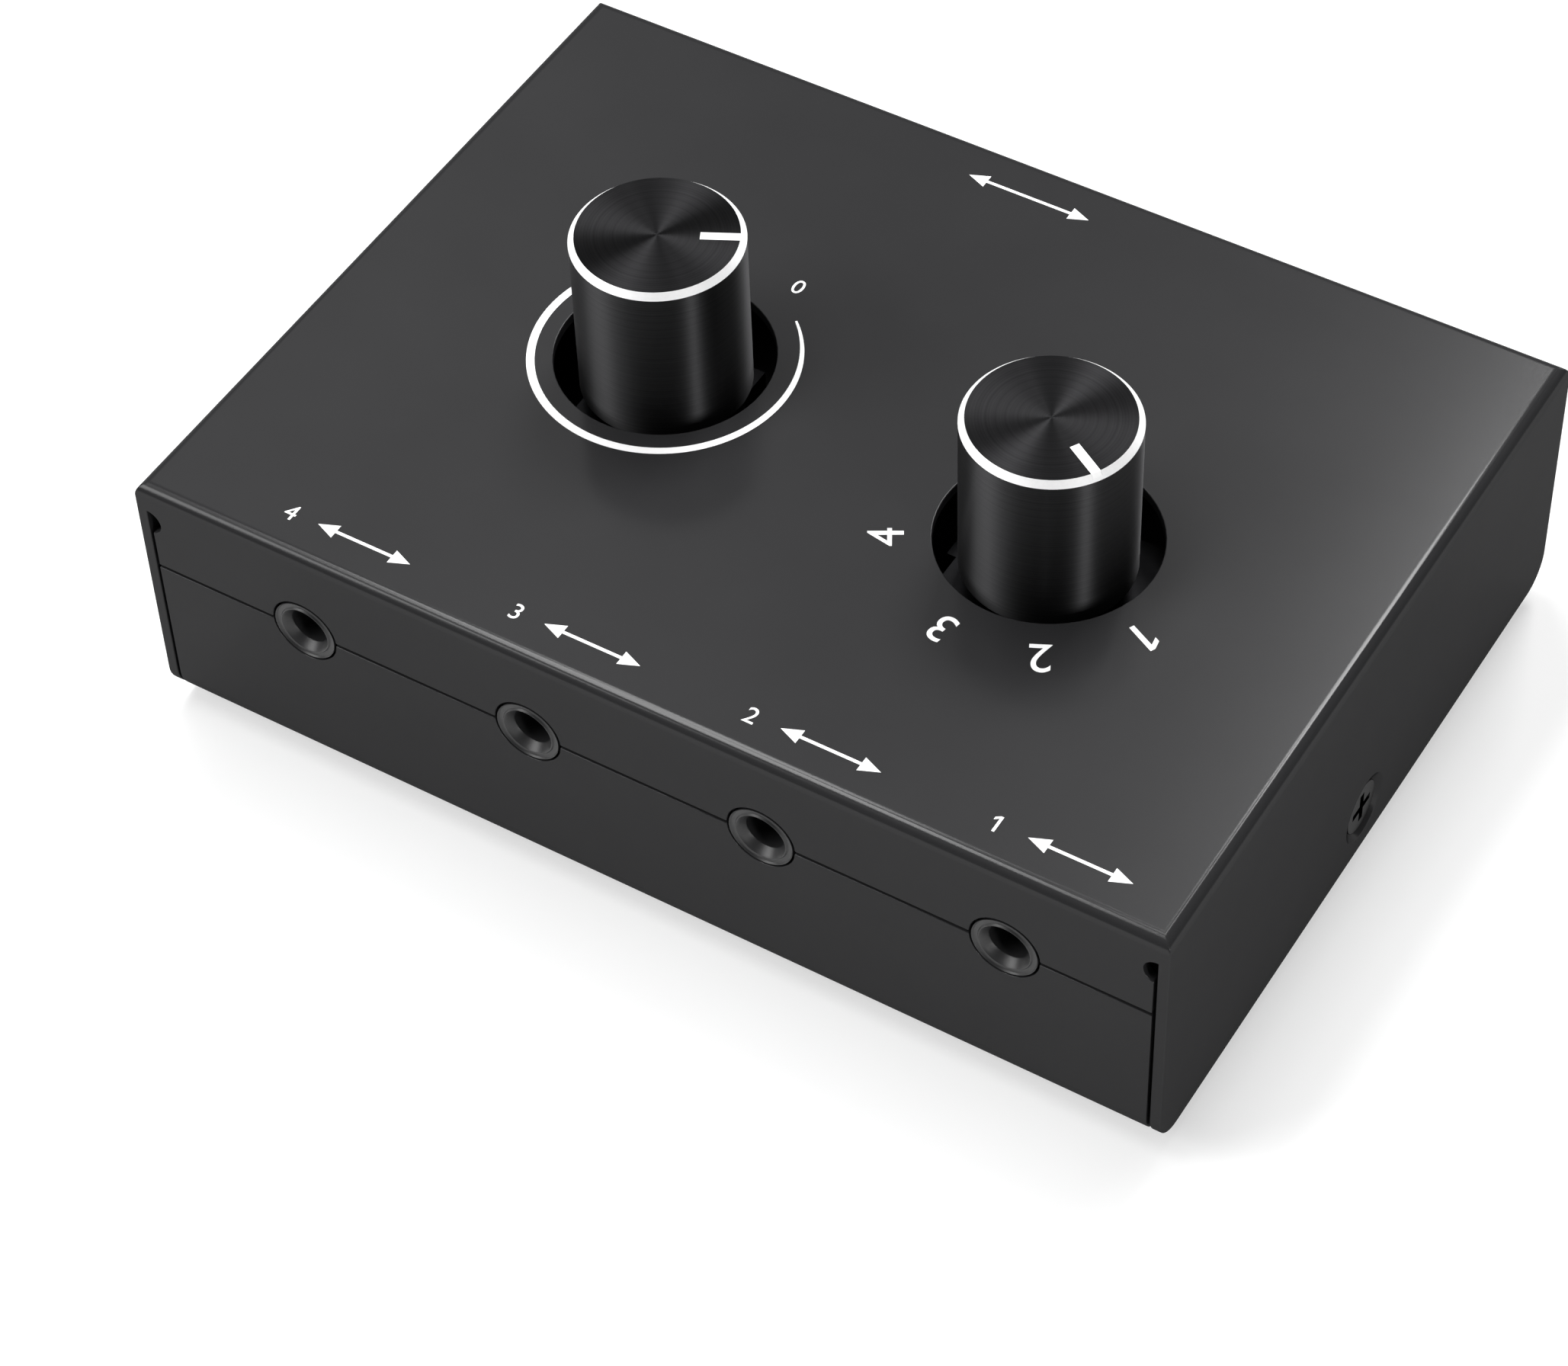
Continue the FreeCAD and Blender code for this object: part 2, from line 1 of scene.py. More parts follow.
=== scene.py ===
import bpy
import bmesh
import math
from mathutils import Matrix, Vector


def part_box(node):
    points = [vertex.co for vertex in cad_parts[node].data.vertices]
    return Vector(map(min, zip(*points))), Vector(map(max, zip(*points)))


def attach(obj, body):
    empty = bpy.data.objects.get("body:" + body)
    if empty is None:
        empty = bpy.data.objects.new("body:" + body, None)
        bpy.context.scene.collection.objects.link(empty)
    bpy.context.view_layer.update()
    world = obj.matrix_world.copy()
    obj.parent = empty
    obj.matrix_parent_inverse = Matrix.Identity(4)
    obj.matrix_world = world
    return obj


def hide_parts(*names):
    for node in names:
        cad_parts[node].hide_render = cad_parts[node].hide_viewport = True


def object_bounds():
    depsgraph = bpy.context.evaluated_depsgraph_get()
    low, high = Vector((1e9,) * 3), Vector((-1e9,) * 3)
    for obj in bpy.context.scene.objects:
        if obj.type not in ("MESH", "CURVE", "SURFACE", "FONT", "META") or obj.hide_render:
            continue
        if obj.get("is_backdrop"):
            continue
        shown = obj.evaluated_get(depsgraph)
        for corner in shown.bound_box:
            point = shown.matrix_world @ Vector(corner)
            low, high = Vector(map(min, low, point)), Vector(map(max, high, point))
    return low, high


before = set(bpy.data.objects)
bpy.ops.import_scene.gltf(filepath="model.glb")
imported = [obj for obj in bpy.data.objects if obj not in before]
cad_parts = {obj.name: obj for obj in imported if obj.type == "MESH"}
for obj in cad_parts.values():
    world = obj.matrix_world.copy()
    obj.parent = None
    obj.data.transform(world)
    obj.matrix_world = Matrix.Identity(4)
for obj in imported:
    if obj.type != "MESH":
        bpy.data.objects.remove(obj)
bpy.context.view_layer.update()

# Camera: the view of the photograph, solved from the box's edges and the knobs' rims.
# It stands about 400 mm away, to the right of the near long side, and looks down at 49 degrees.
MM = 0.001
camera_place = Vector((138.614, -225.392, 295.548)) * MM
camera_turn = [math.radians(angle) for angle in (41.3251, 1.6241, 31.2646)]
bpy.ops.object.camera_add(location=camera_place, rotation=camera_turn)
camera = bpy.context.object
camera.name = "camera"
camera.data.sensor_width = 36.0
camera.data.lens = 102.683
camera.data.clip_start = 0.01
bpy.context.scene.camera = camera
bpy.context.scene.view_settings.view_transform = "Standard"


# Floor: a white tabletop, much larger than the view, that takes the box's shadow.
# Matt lacquered board. A faint mottle keeps it from being one flat colour.
def linear(colour):
    """The linear values of an sRGB colour such as #3c3c3d."""
    channels = [int(colour[i:i + 2], 16) / 255 for i in (1, 3, 5)]
    return [c / 12.92 if c <= 0.04045 else ((c + 0.055) / 1.055) ** 2.4 for c in channels] + [1.0]


def fill(tree, node, sockets):
    """Give each named socket of a node a value or another node's output."""
    for name, value in sockets.items():
        socket = next(s for s in node.inputs if name in (s.identifier, s.name))
        if isinstance(value, bpy.types.NodeSocket):
            tree.links.new(value, socket)
        else:
            socket.default_value = value


def add(tree, kind, settings, sockets):
    """Add a node with its own settings and sockets."""
    node = tree.nodes.new(kind)
    for name, value in settings.items():
        setattr(node, name, value)
    fill(tree, node, sockets)
    return node


def blank_material(name):
    """A new material with an emptied node tree, the object's coordinates, and a Principled shader."""
    material = bpy.data.materials.new(name)
    material.use_nodes = True
    tree = material.node_tree
    tree.nodes.clear()
    place = add(tree, "ShaderNodeTexCoord", {}, {}).outputs["Object"]
    shader = add(tree, "ShaderNodeBsdfPrincipled", {}, {})
    add(tree, "ShaderNodeOutputMaterial", {}, {"Surface": shader.outputs[0]})
    return material, tree, place, shader


def floor_lacquer(lift):
    """Matt white lacquer. The camera and every reflection see it lifted to the white of the
    backdrop, while the light that it sends to the box is that of its own colour."""
    material, tree, place, shader = blank_material("matt white lacquer")
    mottle = add(tree, "ShaderNodeTexNoise", {}, {"Vector": place, "Scale": 30.0, "Detail": 2.0})
    shade = add(tree, "ShaderNodeMix", {"data_type": "RGBA"},
                {"Factor_Float": mottle.outputs["Fac"],
                 "A_Color": linear("#bebebe"), "B_Color": linear("#c4c4c4")})
    path = add(tree, "ShaderNodeLightPath", {}, {})
    seen = add(tree, "ShaderNodeMath", {"operation": "MAXIMUM"},
               {"Value": path.outputs["Is Camera Ray"], "Value_001": path.outputs["Is Glossy Ray"]})
    through = add(tree, "ShaderNodeMath", {"operation": "MAXIMUM"},
                  {"Value": seen.outputs[0], "Value_001": path.outputs["Is Transmission Ray"]})
    glow = add(tree, "ShaderNodeMath", {"operation": "MULTIPLY"},
               {"Value": through.outputs[0], "Value_001": lift})
    fill(tree, shader, {"Base Color": shade.outputs[2], "Roughness": 0.9, "Specular IOR Level": 0.1,
                        "Emission Color": linear("#ffffff"), "Emission Strength": glow.outputs[0]})
    return material


floor_width = 4.0
backdrop_lift = 0.5
bpy.ops.mesh.primitive_plane_add(size=floor_width, location=(0, 0, 0))
floor = bpy.context.object
floor.name = "floor"
floor.data.materials.append(floor_lacquer(backdrop_lift))
floor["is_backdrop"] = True

# Light: a dim pale room and eight lamps. The overhead and rear softboxes light the top and draw
# the bright lines along its bends, the cards even it out, the strips and the right rear panel put
# the streaks on the knobs, and the front left softbox fills the front.
world = bpy.data.worlds.new("pale room")
bpy.context.scene.world = world
world.use_nodes = True
fill(world.node_tree, world.node_tree.nodes["Background"], {"Color": linear("#ffffff"), "Strength": 0.1})


def softbox(name, azimuth, elevation, distance, width, height, radiance):
    """A rectangular lamp aimed at the middle of the box. Azimuth 0 is +X and 90 is +Y, and the
    radiance is how bright the lamp's own face looks, where 1 is white."""
    a, e = math.radians(azimuth), math.radians(elevation)
    aim = Vector((0, 0, 0.02))
    away = Vector((math.cos(a) * math.cos(e), math.sin(a) * math.cos(e), math.sin(e)))
    bpy.ops.object.light_add(type="AREA", location=aim + away * distance)
    lamp = bpy.context.object
    lamp.name = name
    lamp.data.shape = "RECTANGLE"
    lamp.data.size = width
    lamp.data.size_y = height
    lamp.data.energy = radiance * math.pi * width * height
    lamp.rotation_euler = (-away).to_track_quat("-Z", "Y").to_euler()


softbox("overhead softbox", 176, 69.5, 1.2, 1.0, 0.26, 13.0)
softbox("rear softbox", 94.5, 52, 1.2, 0.3, 0.36, 22.0)
softbox("rear card", 125, 46, 1.4, 1.1, 0.7, 0.35)
softbox("left rear card", 137, 42, 1.2, 0.36, 0.36, 0.6)
softbox("high strip", 90, 69, 1.2, 0.12, 0.36, 11.0)
softbox("right strip", -22, 20, 1.1, 0.12, 0.5, 15.0)
softbox("right rear panel", 70, 20, 1.1, 0.4, 0.4, 5.0)
softbox("front left softbox", -140, 35, 1.3, 0.6, 0.6, 7.5)


# Bottom tray: 1 mm steel folded into a U, whose walls meet the cover's flanges at the seam.
# Punched, folded, then powder coated black. Its two ears stand inside the ends for the screws.
sheet_ease = 0.22 * MM


def deselect():
    bpy.ops.object.select_all(action="DESELECT")


def activate(piece):
    """Make a piece the only one selected, for the operators that follow."""
    deselect()
    piece.select_set(True)
    bpy.context.view_layer.objects.active = piece


def apply_modifiers(piece):
    activate(piece)
    for modifier in list(piece.modifiers):
        bpy.ops.object.modifier_apply(modifier=modifier.name)


def smoothed(piece, angle):
    """Smooth shading up to an angle, with flat faces kept flat right up to their eased edges."""
    activate(piece)
    bpy.ops.object.shade_smooth_by_angle(angle=math.radians(angle))
    flatten = piece.modifiers.new("flat faces", "WEIGHTED_NORMAL")
    flatten.keep_sharp = True
    apply_modifiers(piece)


def eased_copy(node, name, ease, carve=None):
    """A piece with a node's form, its sharp edges eased as by tumbling, coating or a mould. carve,
    if it is given, shapes the piece in edit mode before that."""
    deselect()
    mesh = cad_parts[node].data.copy()
    mesh.materials.clear()
    piece = bpy.data.objects.new(name, mesh)
    bpy.context.collection.objects.link(piece)
    activate(piece)
    bpy.ops.object.mode_set(mode="EDIT")
    bpy.ops.mesh.select_all(action="SELECT")
    bpy.ops.mesh.remove_doubles(threshold=0.002 * MM)
    bpy.ops.mesh.dissolve_limited(angle_limit=math.radians(0.5))
    if carve:
        bpy.ops.mesh.select_mode(type="FACE")
        carve(piece)
    bpy.ops.object.mode_set(mode="OBJECT")
    bevel = piece.modifiers.new("ease", "BEVEL")
    bevel.width = ease
    bevel.segments = 3
    bevel.limit_method = "ANGLE"
    bevel.angle_limit = math.radians(30)
    apply_modifiers(piece)
    smoothed(piece, 40)
    return piece


def powder_coat():
    """Black polyester powder on steel: satin, with the faint orange peel of a baked coat. Its matt
    pigment is under a thin skin of clear resin, which carries the gloss."""
    material, tree, place, shader = blank_material("black powder-coated steel")
    peel_size = 0.3 * MM
    drift_size = 9 * MM
    peel = add(tree, "ShaderNodeTexNoise", {}, {"Vector": place, "Scale": 1 / peel_size, "Detail": 3.0})
    drift = add(tree, "ShaderNodeTexNoise", {}, {"Vector": place, "Scale": 1 / drift_size, "Detail": 2.0})
    bump = add(tree, "ShaderNodeBump", {},
               {"Height": peel.outputs["Fac"], "Strength": 0.2, "Distance": 0.012 * MM})
    shade = add(tree, "ShaderNodeMix", {"data_type": "RGBA"},
                {"Factor_Float": drift.outputs["Fac"],
                 "A_Color": linear("#272728"), "B_Color": linear("#2b2b2c")})
    fill(tree, shader, {"Base Color": shade.outputs[2], "Roughness": 0.7, "Specular IOR Level": 0.0,
                        "Coat Weight": 0.07, "Coat IOR": 3.5, "Coat Roughness": 0.18,
                        "Normal": bump.outputs[0], "Coat Normal": bump.outputs[0]})
    return material


def fitted(piece, node, body="housing"):
    """Let a piece stand for a CAD node and the body that it moves with."""
    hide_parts(node)
    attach(piece, body)


coat = powder_coat()
tray = eased_copy("bottom_tray", "tray_sheet", sheet_ease)
tray.data.materials.append(coat)
fitted(tray, "bottom_tray")


# Feet: four stick-on pads of black rubber, die cut and chamfered where they meet the table.
# They are set in from the tray's corners.
def moulded(name, low, high, roughness, patch, relief, ior):
    """A moulded plastic or rubber: two shades that drift over a patch, and a finer relief."""
    material, tree, place, shader = blank_material(name)
    grains_per_patch = 6
    drift = add(tree, "ShaderNodeTexNoise", {}, {"Vector": place, "Scale": 1 / patch, "Detail": 3.0})
    grain = add(tree, "ShaderNodeTexNoise", {},
                {"Vector": place, "Scale": grains_per_patch / patch, "Detail": 2.0})
    bump = add(tree, "ShaderNodeBump", {},
               {"Height": grain.outputs["Fac"], "Strength": 0.4, "Distance": relief})
    shade = add(tree, "ShaderNodeMix", {"data_type": "RGBA"},
                {"Factor_Float": drift.outputs["Fac"], "A_Color": linear(low), "B_Color": linear(high)})
    fill(tree, shader, {"Base Color": shade.outputs[2], "Roughness": roughness, "IOR": ior,
                        "Normal": bump.outputs[0]})
    return material


foot_ease = 0.2 * MM
foot_rubber = moulded("black rubber sheet", "#161616", "#1e1e1e", 0.75, 0.8 * MM, 0.03 * MM, 1.52)
for corner in ("front_left", "front_right", "rear_left", "rear_right"):
    foot = eased_copy("foot_" + corner, "foot_pad_" + corner, foot_ease)
    foot.data.materials.append(foot_rubber)
    fitted(foot, "foot_" + corner)


# Board posts: natural nylon snap posts, injection moulded, that stand on the tray
# and grip the board through square holes near its corners.
def dress(material, *nodes):
    """Give the CAD's own nodes a material. Their form is right as it is."""
    for node in nodes:
        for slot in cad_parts[node].material_slots:
            slot.material = material


dress(moulded("natural nylon", "#d6d2c6", "#e2dfd5", 0.5, 1.0 * MM, 0.01 * MM, 1.53), "board_posts")

# Circuit board: 1.6 mm glass laminate under a black solder mask. Its near-black colour also paints the
# shade in the wells round the knobs. The jacks and both controls are soldered to it.
dress(moulded("black solder mask on glass laminate", "#0a0a0b", "#101011", 0.45, 2.0 * MM, 0.01 * MM, 1.5),
       "circuit_board")

# Jacks: 3.5 mm three-pole sockets, moulded in black glass-filled plastic, with nickel-plated
# leaves. Each barrel fills its hole in the wall, and its conical mouth leads the plug in.
jack_ease = 0.05 * MM
jack_face_step = 0.2 * MM
jack_face_land = 0.14 * MM


def select_faces(piece, wanted):
    """In edit mode, select the faces for which wanted(centre, normal) is true."""
    mesh = bmesh.from_edit_mesh(piece.data)
    for face in mesh.faces:
        face.select_set(bool(wanted(face.calc_center_median(), face.normal)))
    mesh.select_flush_mode()
    bmesh.update_edit_mesh(piece.data)


def sink_jack_face(piece):
    """Sink the ring between the barrel's rim and the mouth a little, with a narrow land left round
    each of them."""
    face_y = max((v.co.y for v in bmesh.from_edit_mesh(piece.data).verts), key=abs)
    side = math.copysign(1, face_y)
    select_faces(piece, lambda c, n: abs(n.y) > 0.99 and abs(c.y - face_y) < 0.01 * MM)
    bpy.ops.mesh.inset(thickness=jack_face_land)
    bpy.ops.transform.translate(value=(0, -side * jack_face_step, 0))


def plated(name, low, high, roughness, patch, edge="#ffffff"):
    """A plated metal: two close shades in patches, as the bath leaves them. A dark conversion coat
    is also darker at its edges, where plain metal goes white."""
    material, tree, place, shader = blank_material(name)
    drift = add(tree, "ShaderNodeTexNoise", {}, {"Vector": place, "Scale": 1 / patch, "Detail": 3.0})
    bump = add(tree, "ShaderNodeBump", {},
               {"Height": drift.outputs["Fac"], "Strength": 0.2, "Distance": 0.004 * MM})
    shade = add(tree, "ShaderNodeMix", {"data_type": "RGBA"},
                {"Factor_Float": drift.outputs["Fac"], "A_Color": linear(low), "B_Color": linear(high)})
    fill(tree, shader, {"Base Color": shade.outputs[2], "Metallic": 1.0, "Roughness": roughness,
                        "Specular Tint": linear(edge), "Normal": bump.outputs[0]})
    return material


front_jacks = ["jack_1", "jack_2", "jack_3", "jack_4"]
jack_plastic = moulded("moulded black glass-filled polyester", "#1d1d1e", "#232324",
                       0.42, 0.8 * MM, 0.006 * MM, 1.55)
leaf_bronze = plated("nickel-plated phosphor bronze", "#b4aea0", "#c6c1b4", 0.28, 0.8 * MM)
for name in front_jacks + ["jack_common"]:
    socket = eased_copy(name + "_housing", name + "_socket", jack_ease, sink_jack_face)
    socket.data.materials.append(jack_plastic)
    fitted(socket, name + "_housing")
    dress(leaf_bronze, name + "_contacts")

# Volume control: a carbon track on a wafer, a two-armed wiper under a moulded rotor, a moulded
# case, and a pressed bracket whose neck carries the turned steel shaft.
control_phenolic = moulded("moulded black phenolic", "#161615", "#1e1d1c", 0.5, 0.7 * MM, 0.008 * MM, 1.6)
# The brackets, shafts and roller are black zinc. Their near-black colour is partly painted shade, which
# keeps the wells round the knobs dark and without glints.
black_zinc_well_shade = plated("black zinc on steel with painted well shade", "#131314", "#1b1b1c", 0.42, 1.2 * MM)
dress(moulded("printed carbon on paper laminate", "#1c1712", "#261f18", 0.6, 0.5 * MM, 0.006 * MM, 1.5),
       "volume_track")
dress(control_phenolic, "volume_case", "volume_rotor")
dress(leaf_bronze, "volume_wiper", "volume_terminals")
dress(black_zinc_well_shade, "volume_bracket", "volume_shaft")

# Rotary switch: contact pads on a wafer, a three-armed wiper under a star-wheel rotor, and a
# steel roller that a curved leaf presses into the star. Its case and bracket are like the other's.
dress(control_phenolic, "selector_wafer", "selector_case", "selector_rotor")
dress(leaf_bronze, "selector_contacts", "selector_wiper", "selector_terminals", "selector_detent_spring")
dress(black_zinc_well_shade, "selector_bracket", "selector_shaft", "selector_detent_roller")

# Top cover: one sheet of the same steel, folded over the box, with full-height ends and short
# front and back flanges. Relief holes end its slits, and two round holes clear the knobs.
cover = eased_copy("top_cover", "cover_sheet", sheet_ease)
cover.data.materials.append(coat)
fitted(cover, "top_cover")
cover_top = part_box("top_cover")[1].z

# Cover screws: countersunk M3 machine screws, cold headed with a cross recess and plated with
# black zinc. Each goes through an end of the cover into the tray's ear. The head is a little
# smaller than the countersink's mouth, so that a dark ring shows round it.
screw_low, screw_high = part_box("cover_screws")
screw_z = (screw_low.z + screw_high.z) / 2
head_share = 0.9
head_radius = head_share * (screw_high.z - screw_low.z) / 2
head_edge = 0.1 * MM
head_land = 0.18 * MM
shank_radius = 1.5 * MM
screw_length = 6.0 * MM
recess_half_width = 0.5 * MM
recess_reach = 2.2 * MM
recess_depth = 0.9 * MM
recess_taper = 0.45
screws = []
for end in (-1, 1):
    outer = screw_high.x if end > 0 else screw_low.x
    cone = head_radius - shank_radius
    deselect()
    bpy.ops.mesh.primitive_cone_add(vertices=64, radius1=shank_radius, radius2=head_radius, depth=cone,
                                    location=(0, 0, -head_land - cone / 2))
    screw = bpy.context.object
    bpy.ops.object.transform_apply(location=True)
    bpy.ops.object.mode_set(mode="EDIT")
    bpy.ops.mesh.select_mode(type="FACE")
    select_faces(screw, lambda c, n: n.z > 0.9)
    bpy.ops.mesh.extrude_region_move(TRANSFORM_OT_translate={"value": (0, 0, head_land)})
    bpy.ops.mesh.bevel(offset=head_edge, offset_type="OFFSET", segments=3, affect="EDGES")
    select_faces(screw, lambda c, n: n.z < -0.9)
    shank_step = (0, 0, cone + head_land - screw_length)
    bpy.ops.mesh.extrude_region_move(TRANSFORM_OT_translate={"value": shank_step})
    bpy.ops.object.mode_set(mode="OBJECT")
    for turn in (0, 90):
        bpy.ops.mesh.primitive_cube_add(size=1, location=(0, 0, 0), rotation=(0, 0, math.radians(turn)),
                                        scale=(2 * recess_reach, 2 * recess_half_width, 2 * recess_depth))
        cutter = bpy.context.object
        bpy.ops.object.transform_apply(location=True, rotation=True, scale=True)
        bpy.ops.object.mode_set(mode="EDIT")
        bpy.ops.mesh.select_mode(type="FACE")
        select_faces(cutter, lambda c, n: n.z < -0.9)
        bpy.ops.transform.resize(value=(recess_taper, recess_taper, 1))
        bpy.ops.object.mode_set(mode="OBJECT")
        recess = screw.modifiers.new("recess", "BOOLEAN")
        recess.object = cutter
        recess.solver = "EXACT"
        apply_modifiers(screw)
        bpy.data.objects.remove(cutter)
    screw.rotation_euler = (0, math.radians(end * 90), 0)
    screw.location = (outer, 0, screw_z)
    activate(screw)
    bpy.ops.object.transform_apply(location=True, rotation=True)
    screws.append(screw)
deselect()
for screw in screws:
    screw.select_set(True)
bpy.context.view_layer.objects.active = screws[0]
bpy.ops.object.join()
screw_pair = bpy.context.object
screw_pair.name = "black_machine_screws"
screw_zinc = plated("black zinc on a steel screw", "#121213", "#1a1a1b", 0.25, 1.0 * MM, "#c4c4c4")
screw_pair.data.materials.append(screw_zinc)
smoothed(screw_pair, 30)
fitted(screw_pair, "cover_screws")

# Printing: white epoxy ink, screen printed on the cover before assembly. A tapering arc with its
# end numbers for the volume, numbers for the switch, and a number and a two-way arrow at the jacks.
print_thickness = 0.02 * MM


def white_ink(name):
    """White epoxy ink, matt, and a little thinner in places where the screen let less through."""
    return moulded(name, "#f8f8f8", "#ffffff", 0.55, 0.4 * MM, 0.004 * MM, 1.5)


def select_edges(piece, wanted):
    """In edit mode, select only the edges whose two ends are both wanted."""
    bpy.ops.mesh.select_mode(type="EDGE")
    bpy.ops.mesh.select_all(action="DESELECT")
    mesh = bmesh.from_edit_mesh(piece.data)
    for edge in mesh.edges:
        edge.select_set(all(wanted(v.co) for v in edge.verts))
    mesh.select_flush_mode()
    bmesh.update_edit_mesh(piece.data)


def digit(character, height):
    """One digit of the built-in sans face, lying at the origin. Its 1 is drawn with a flag, so that
    it isn't read as a stroke."""
    deselect()
    if character == "1":
        stem = 0.15 * height
        flag = 0.24 * height
        flag_drop = 0.7 * flag
        flag_root = height / 2 - 1.1 * stem
        bpy.ops.mesh.primitive_plane_add(size=1, location=(0, 0, 0))
        mark = bpy.context.object
        mark.scale = (stem, height, 1)
        bpy.ops.object.transform_apply(scale=True)
        bpy.ops.object.mode_set(mode="EDIT")
        bpy.ops.mesh.select_all(action="SELECT")
        bpy.ops.mesh.bisect(plane_co=(0, flag_root, 0), plane_no=(0, 1, 0))
        select_edges(mark, lambda v: v.x < -stem / 3 and v.y > flag_root - 0.1 * stem)
        bpy.ops.mesh.extrude_edges_move(TRANSFORM_OT_translate={"value": (-flag, -flag_drop, 0)})
        bpy.ops.object.mode_set(mode="OBJECT")
        return mark
    bpy.ops.object.text_add(location=(0, 0, 0))
    mark = bpy.context.object
    mark.data.body = character
    mark.data.align_x = "CENTER"
    mark.data.align_y = "CENTER"
    mark.data.size = height
    bpy.ops.object.convert(target="MESH")
    mark = bpy.context.object
    size = height / mark.dimensions.y
    mark.scale = (size, size, 1)
    activate(mark)
    bpy.ops.object.transform_apply(scale=True)
    low_x = min(corner[0] for corner in mark.bound_box)
    high_x = max(corner[0] for corner in mark.bound_box)
    low_y = min(corner[1] for corner in mark.bound_box)
    mark.location = (-(low_x + high_x) / 2, -low_y - height / 2, 0)
    bpy.ops.object.transform_apply(location=True)
    return mark


def number_mark(text, height, x, y, turn):
    """A number of a given height, laid on the cover and turned, as one mark for each digit."""
    marks = []
    pitch = 0.78 * height
    angle = math.radians(turn)
    for i, character in enumerate(text):
        mark = digit(character, height)
        shift = (i - (len(text) - 1) / 2) * pitch
        mark.rotation_euler = (0, 0, angle)
        mark.location = (x + shift * math.cos(angle), y + shift * math.sin(angle), cover_top)
        activate(mark)
        bpy.ops.object.transform_apply(location=True, rotation=True)
        marks.append(mark)
    return marks


def arrow_mark(length, height, x, y):
    """A two-way arrow, as on any socket that works in both directions."""
    stroke = 0.3 * MM
    head = 1.2 * height
    half_bar = length / 2 - head
    deselect()
    bpy.ops.mesh.primitive_plane_add(size=2, location=(0, 0, 0))
    mark = bpy.context.object
    mark.scale = (half_bar, stroke / 2, 1)
    mark.location = (x, y, cover_top)
    bpy.ops.object.transform_apply(location=True, scale=True)
    bpy.ops.object.mode_set(mode="EDIT")
    for side in (-1, 1):
        select_edges(mark, lambda v: side * (v.x - x) > half_bar - 0.01 * MM)
        for spread, reach in ((height / stroke, 0), (0, side * head)):
            bpy.ops.mesh.extrude_region_move(TRANSFORM_OT_translate={"value": (reach, 0, 0)})
            bpy.ops.transform.resize(value=(1, spread, 1), center_override=(x, y, cover_top))
    bpy.ops.mesh.select_all(action="SELECT")
    bpy.ops.mesh.remove_doubles(threshold=0.001 * MM)
    bpy.ops.object.mode_set(mode="OBJECT")
    return mark


def printed(marks, name, ink):
    """Join flat marks into one printed piece, with the thickness of the ink."""
    deselect()
    for mark in marks:
        mark.select_set(True)
    bpy.context.view_layer.objects.active = marks[0]
    bpy.ops.object.join()
    piece = bpy.context.object
    piece.name = name
    bpy.ops.object.mode_set(mode="EDIT")
    bpy.ops.mesh.select_all(action="SELECT")
    bpy.ops.mesh.extrude_region_move(TRANSFORM_OT_translate={"value": (0, 0, print_thickness)})
    bpy.ops.mesh.select_all(action="SELECT")
    bpy.ops.mesh.normals_make_consistent(inside=False)
    bpy.ops.object.mode_set(mode="OBJECT")
    piece.data.materials.clear()
    piece.data.materials.append(ink)
    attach(piece, "housing")


def around(middle, radius, angle):
    """The x and y of a place at a radius and an angle in degrees about a control's axis."""
    turn = math.radians(angle)
    return middle.x + radius * math.cos(turn), middle.y + radius * math.sin(turn)


ink = white_ink("white screen ink")
knob_centres = {}
for control in ("volume", "selector"):
    shell_low, shell_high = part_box(control + "_knob_shell")
    knob_centres[control] = (shell_low + shell_high) / 2

arc_radius = 11.9 * MM
arc_start = 49.5
arc_sweep = 279.0
arc_start_width = 0.2 * MM
arc_end_width = 0.72 * MM
arc_taper_power = 6
arc_steps = 120
small_number = 1.65 * MM
end_number_radius = arc_radius + 2.0 * MM
end_number_angles = {"0": 66, "10": 118}
centre = knob_centres["volume"]
deselect()
bpy.ops.mesh.primitive_grid_add(x_subdivisions=arc_steps, y_subdivisions=1, size=2, location=(0, 0, 0))
arc = bpy.context.object
for vertex in arc.data.vertices:
    along = (vertex.co.x + 1) / 2
    width = arc_end_width - (arc_end_width - arc_start_width) * (1 - along) ** arc_taper_power
    radius = arc_radius - (width if vertex.co.y < 0 else 0)
    vertex.co = (*around(centre, radius, arc_start - along * arc_sweep), cover_top)
bpy.ops.object.mode_set(mode="EDIT")
bpy.ops.mesh.select_all(action="SELECT")
bpy.ops.mesh.remove_doubles(threshold=0.0005 * MM)
bpy.ops.object.mode_set(mode="OBJECT")
marks = [arc]
for text, angle in end_number_angles.items():
    marks += number_mark(text, small_number, *around(centre, end_number_radius, angle), 0)
printed(marks, "volume_scale_print", ink)

centre = knob_centres["selector"]
position_number = 3.0 * MM
position_number_radius = 13.4 * MM
position_angles = {"1": -27, "2": -64, "3": -101, "4": -150}
marks = []
for text, angle in position_angles.items():
    place = around(centre, position_number_radius, angle)
    marks += number_mark(text, position_number, *place, angle - 90)
printed(marks, "selector_scale_print", ink)

label_y = -32.0 * MM
label_number_offset = -2.9 * MM
label_arrow_offset = 4.4 * MM
arrow_height = 1.5 * MM
arrow_length = 9.2 * MM
common_arrow_length = 12.0 * MM
common_arrow_x = -1.1 * MM
common_arrow_y = 31.6 * MM
marks = []
for name in front_jacks:
    low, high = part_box(name + "_housing")
    x = (low.x + high.x) / 2
    marks += number_mark(name[-1], small_number, x + label_number_offset, label_y, 0)
    marks.append(arrow_mark(arrow_length, arrow_height, x + label_arrow_offset, label_y))
marks.append(arrow_mark(common_arrow_length, arrow_height, common_arrow_x, common_arrow_y))
printed(marks, "socket_marks_print", ink)
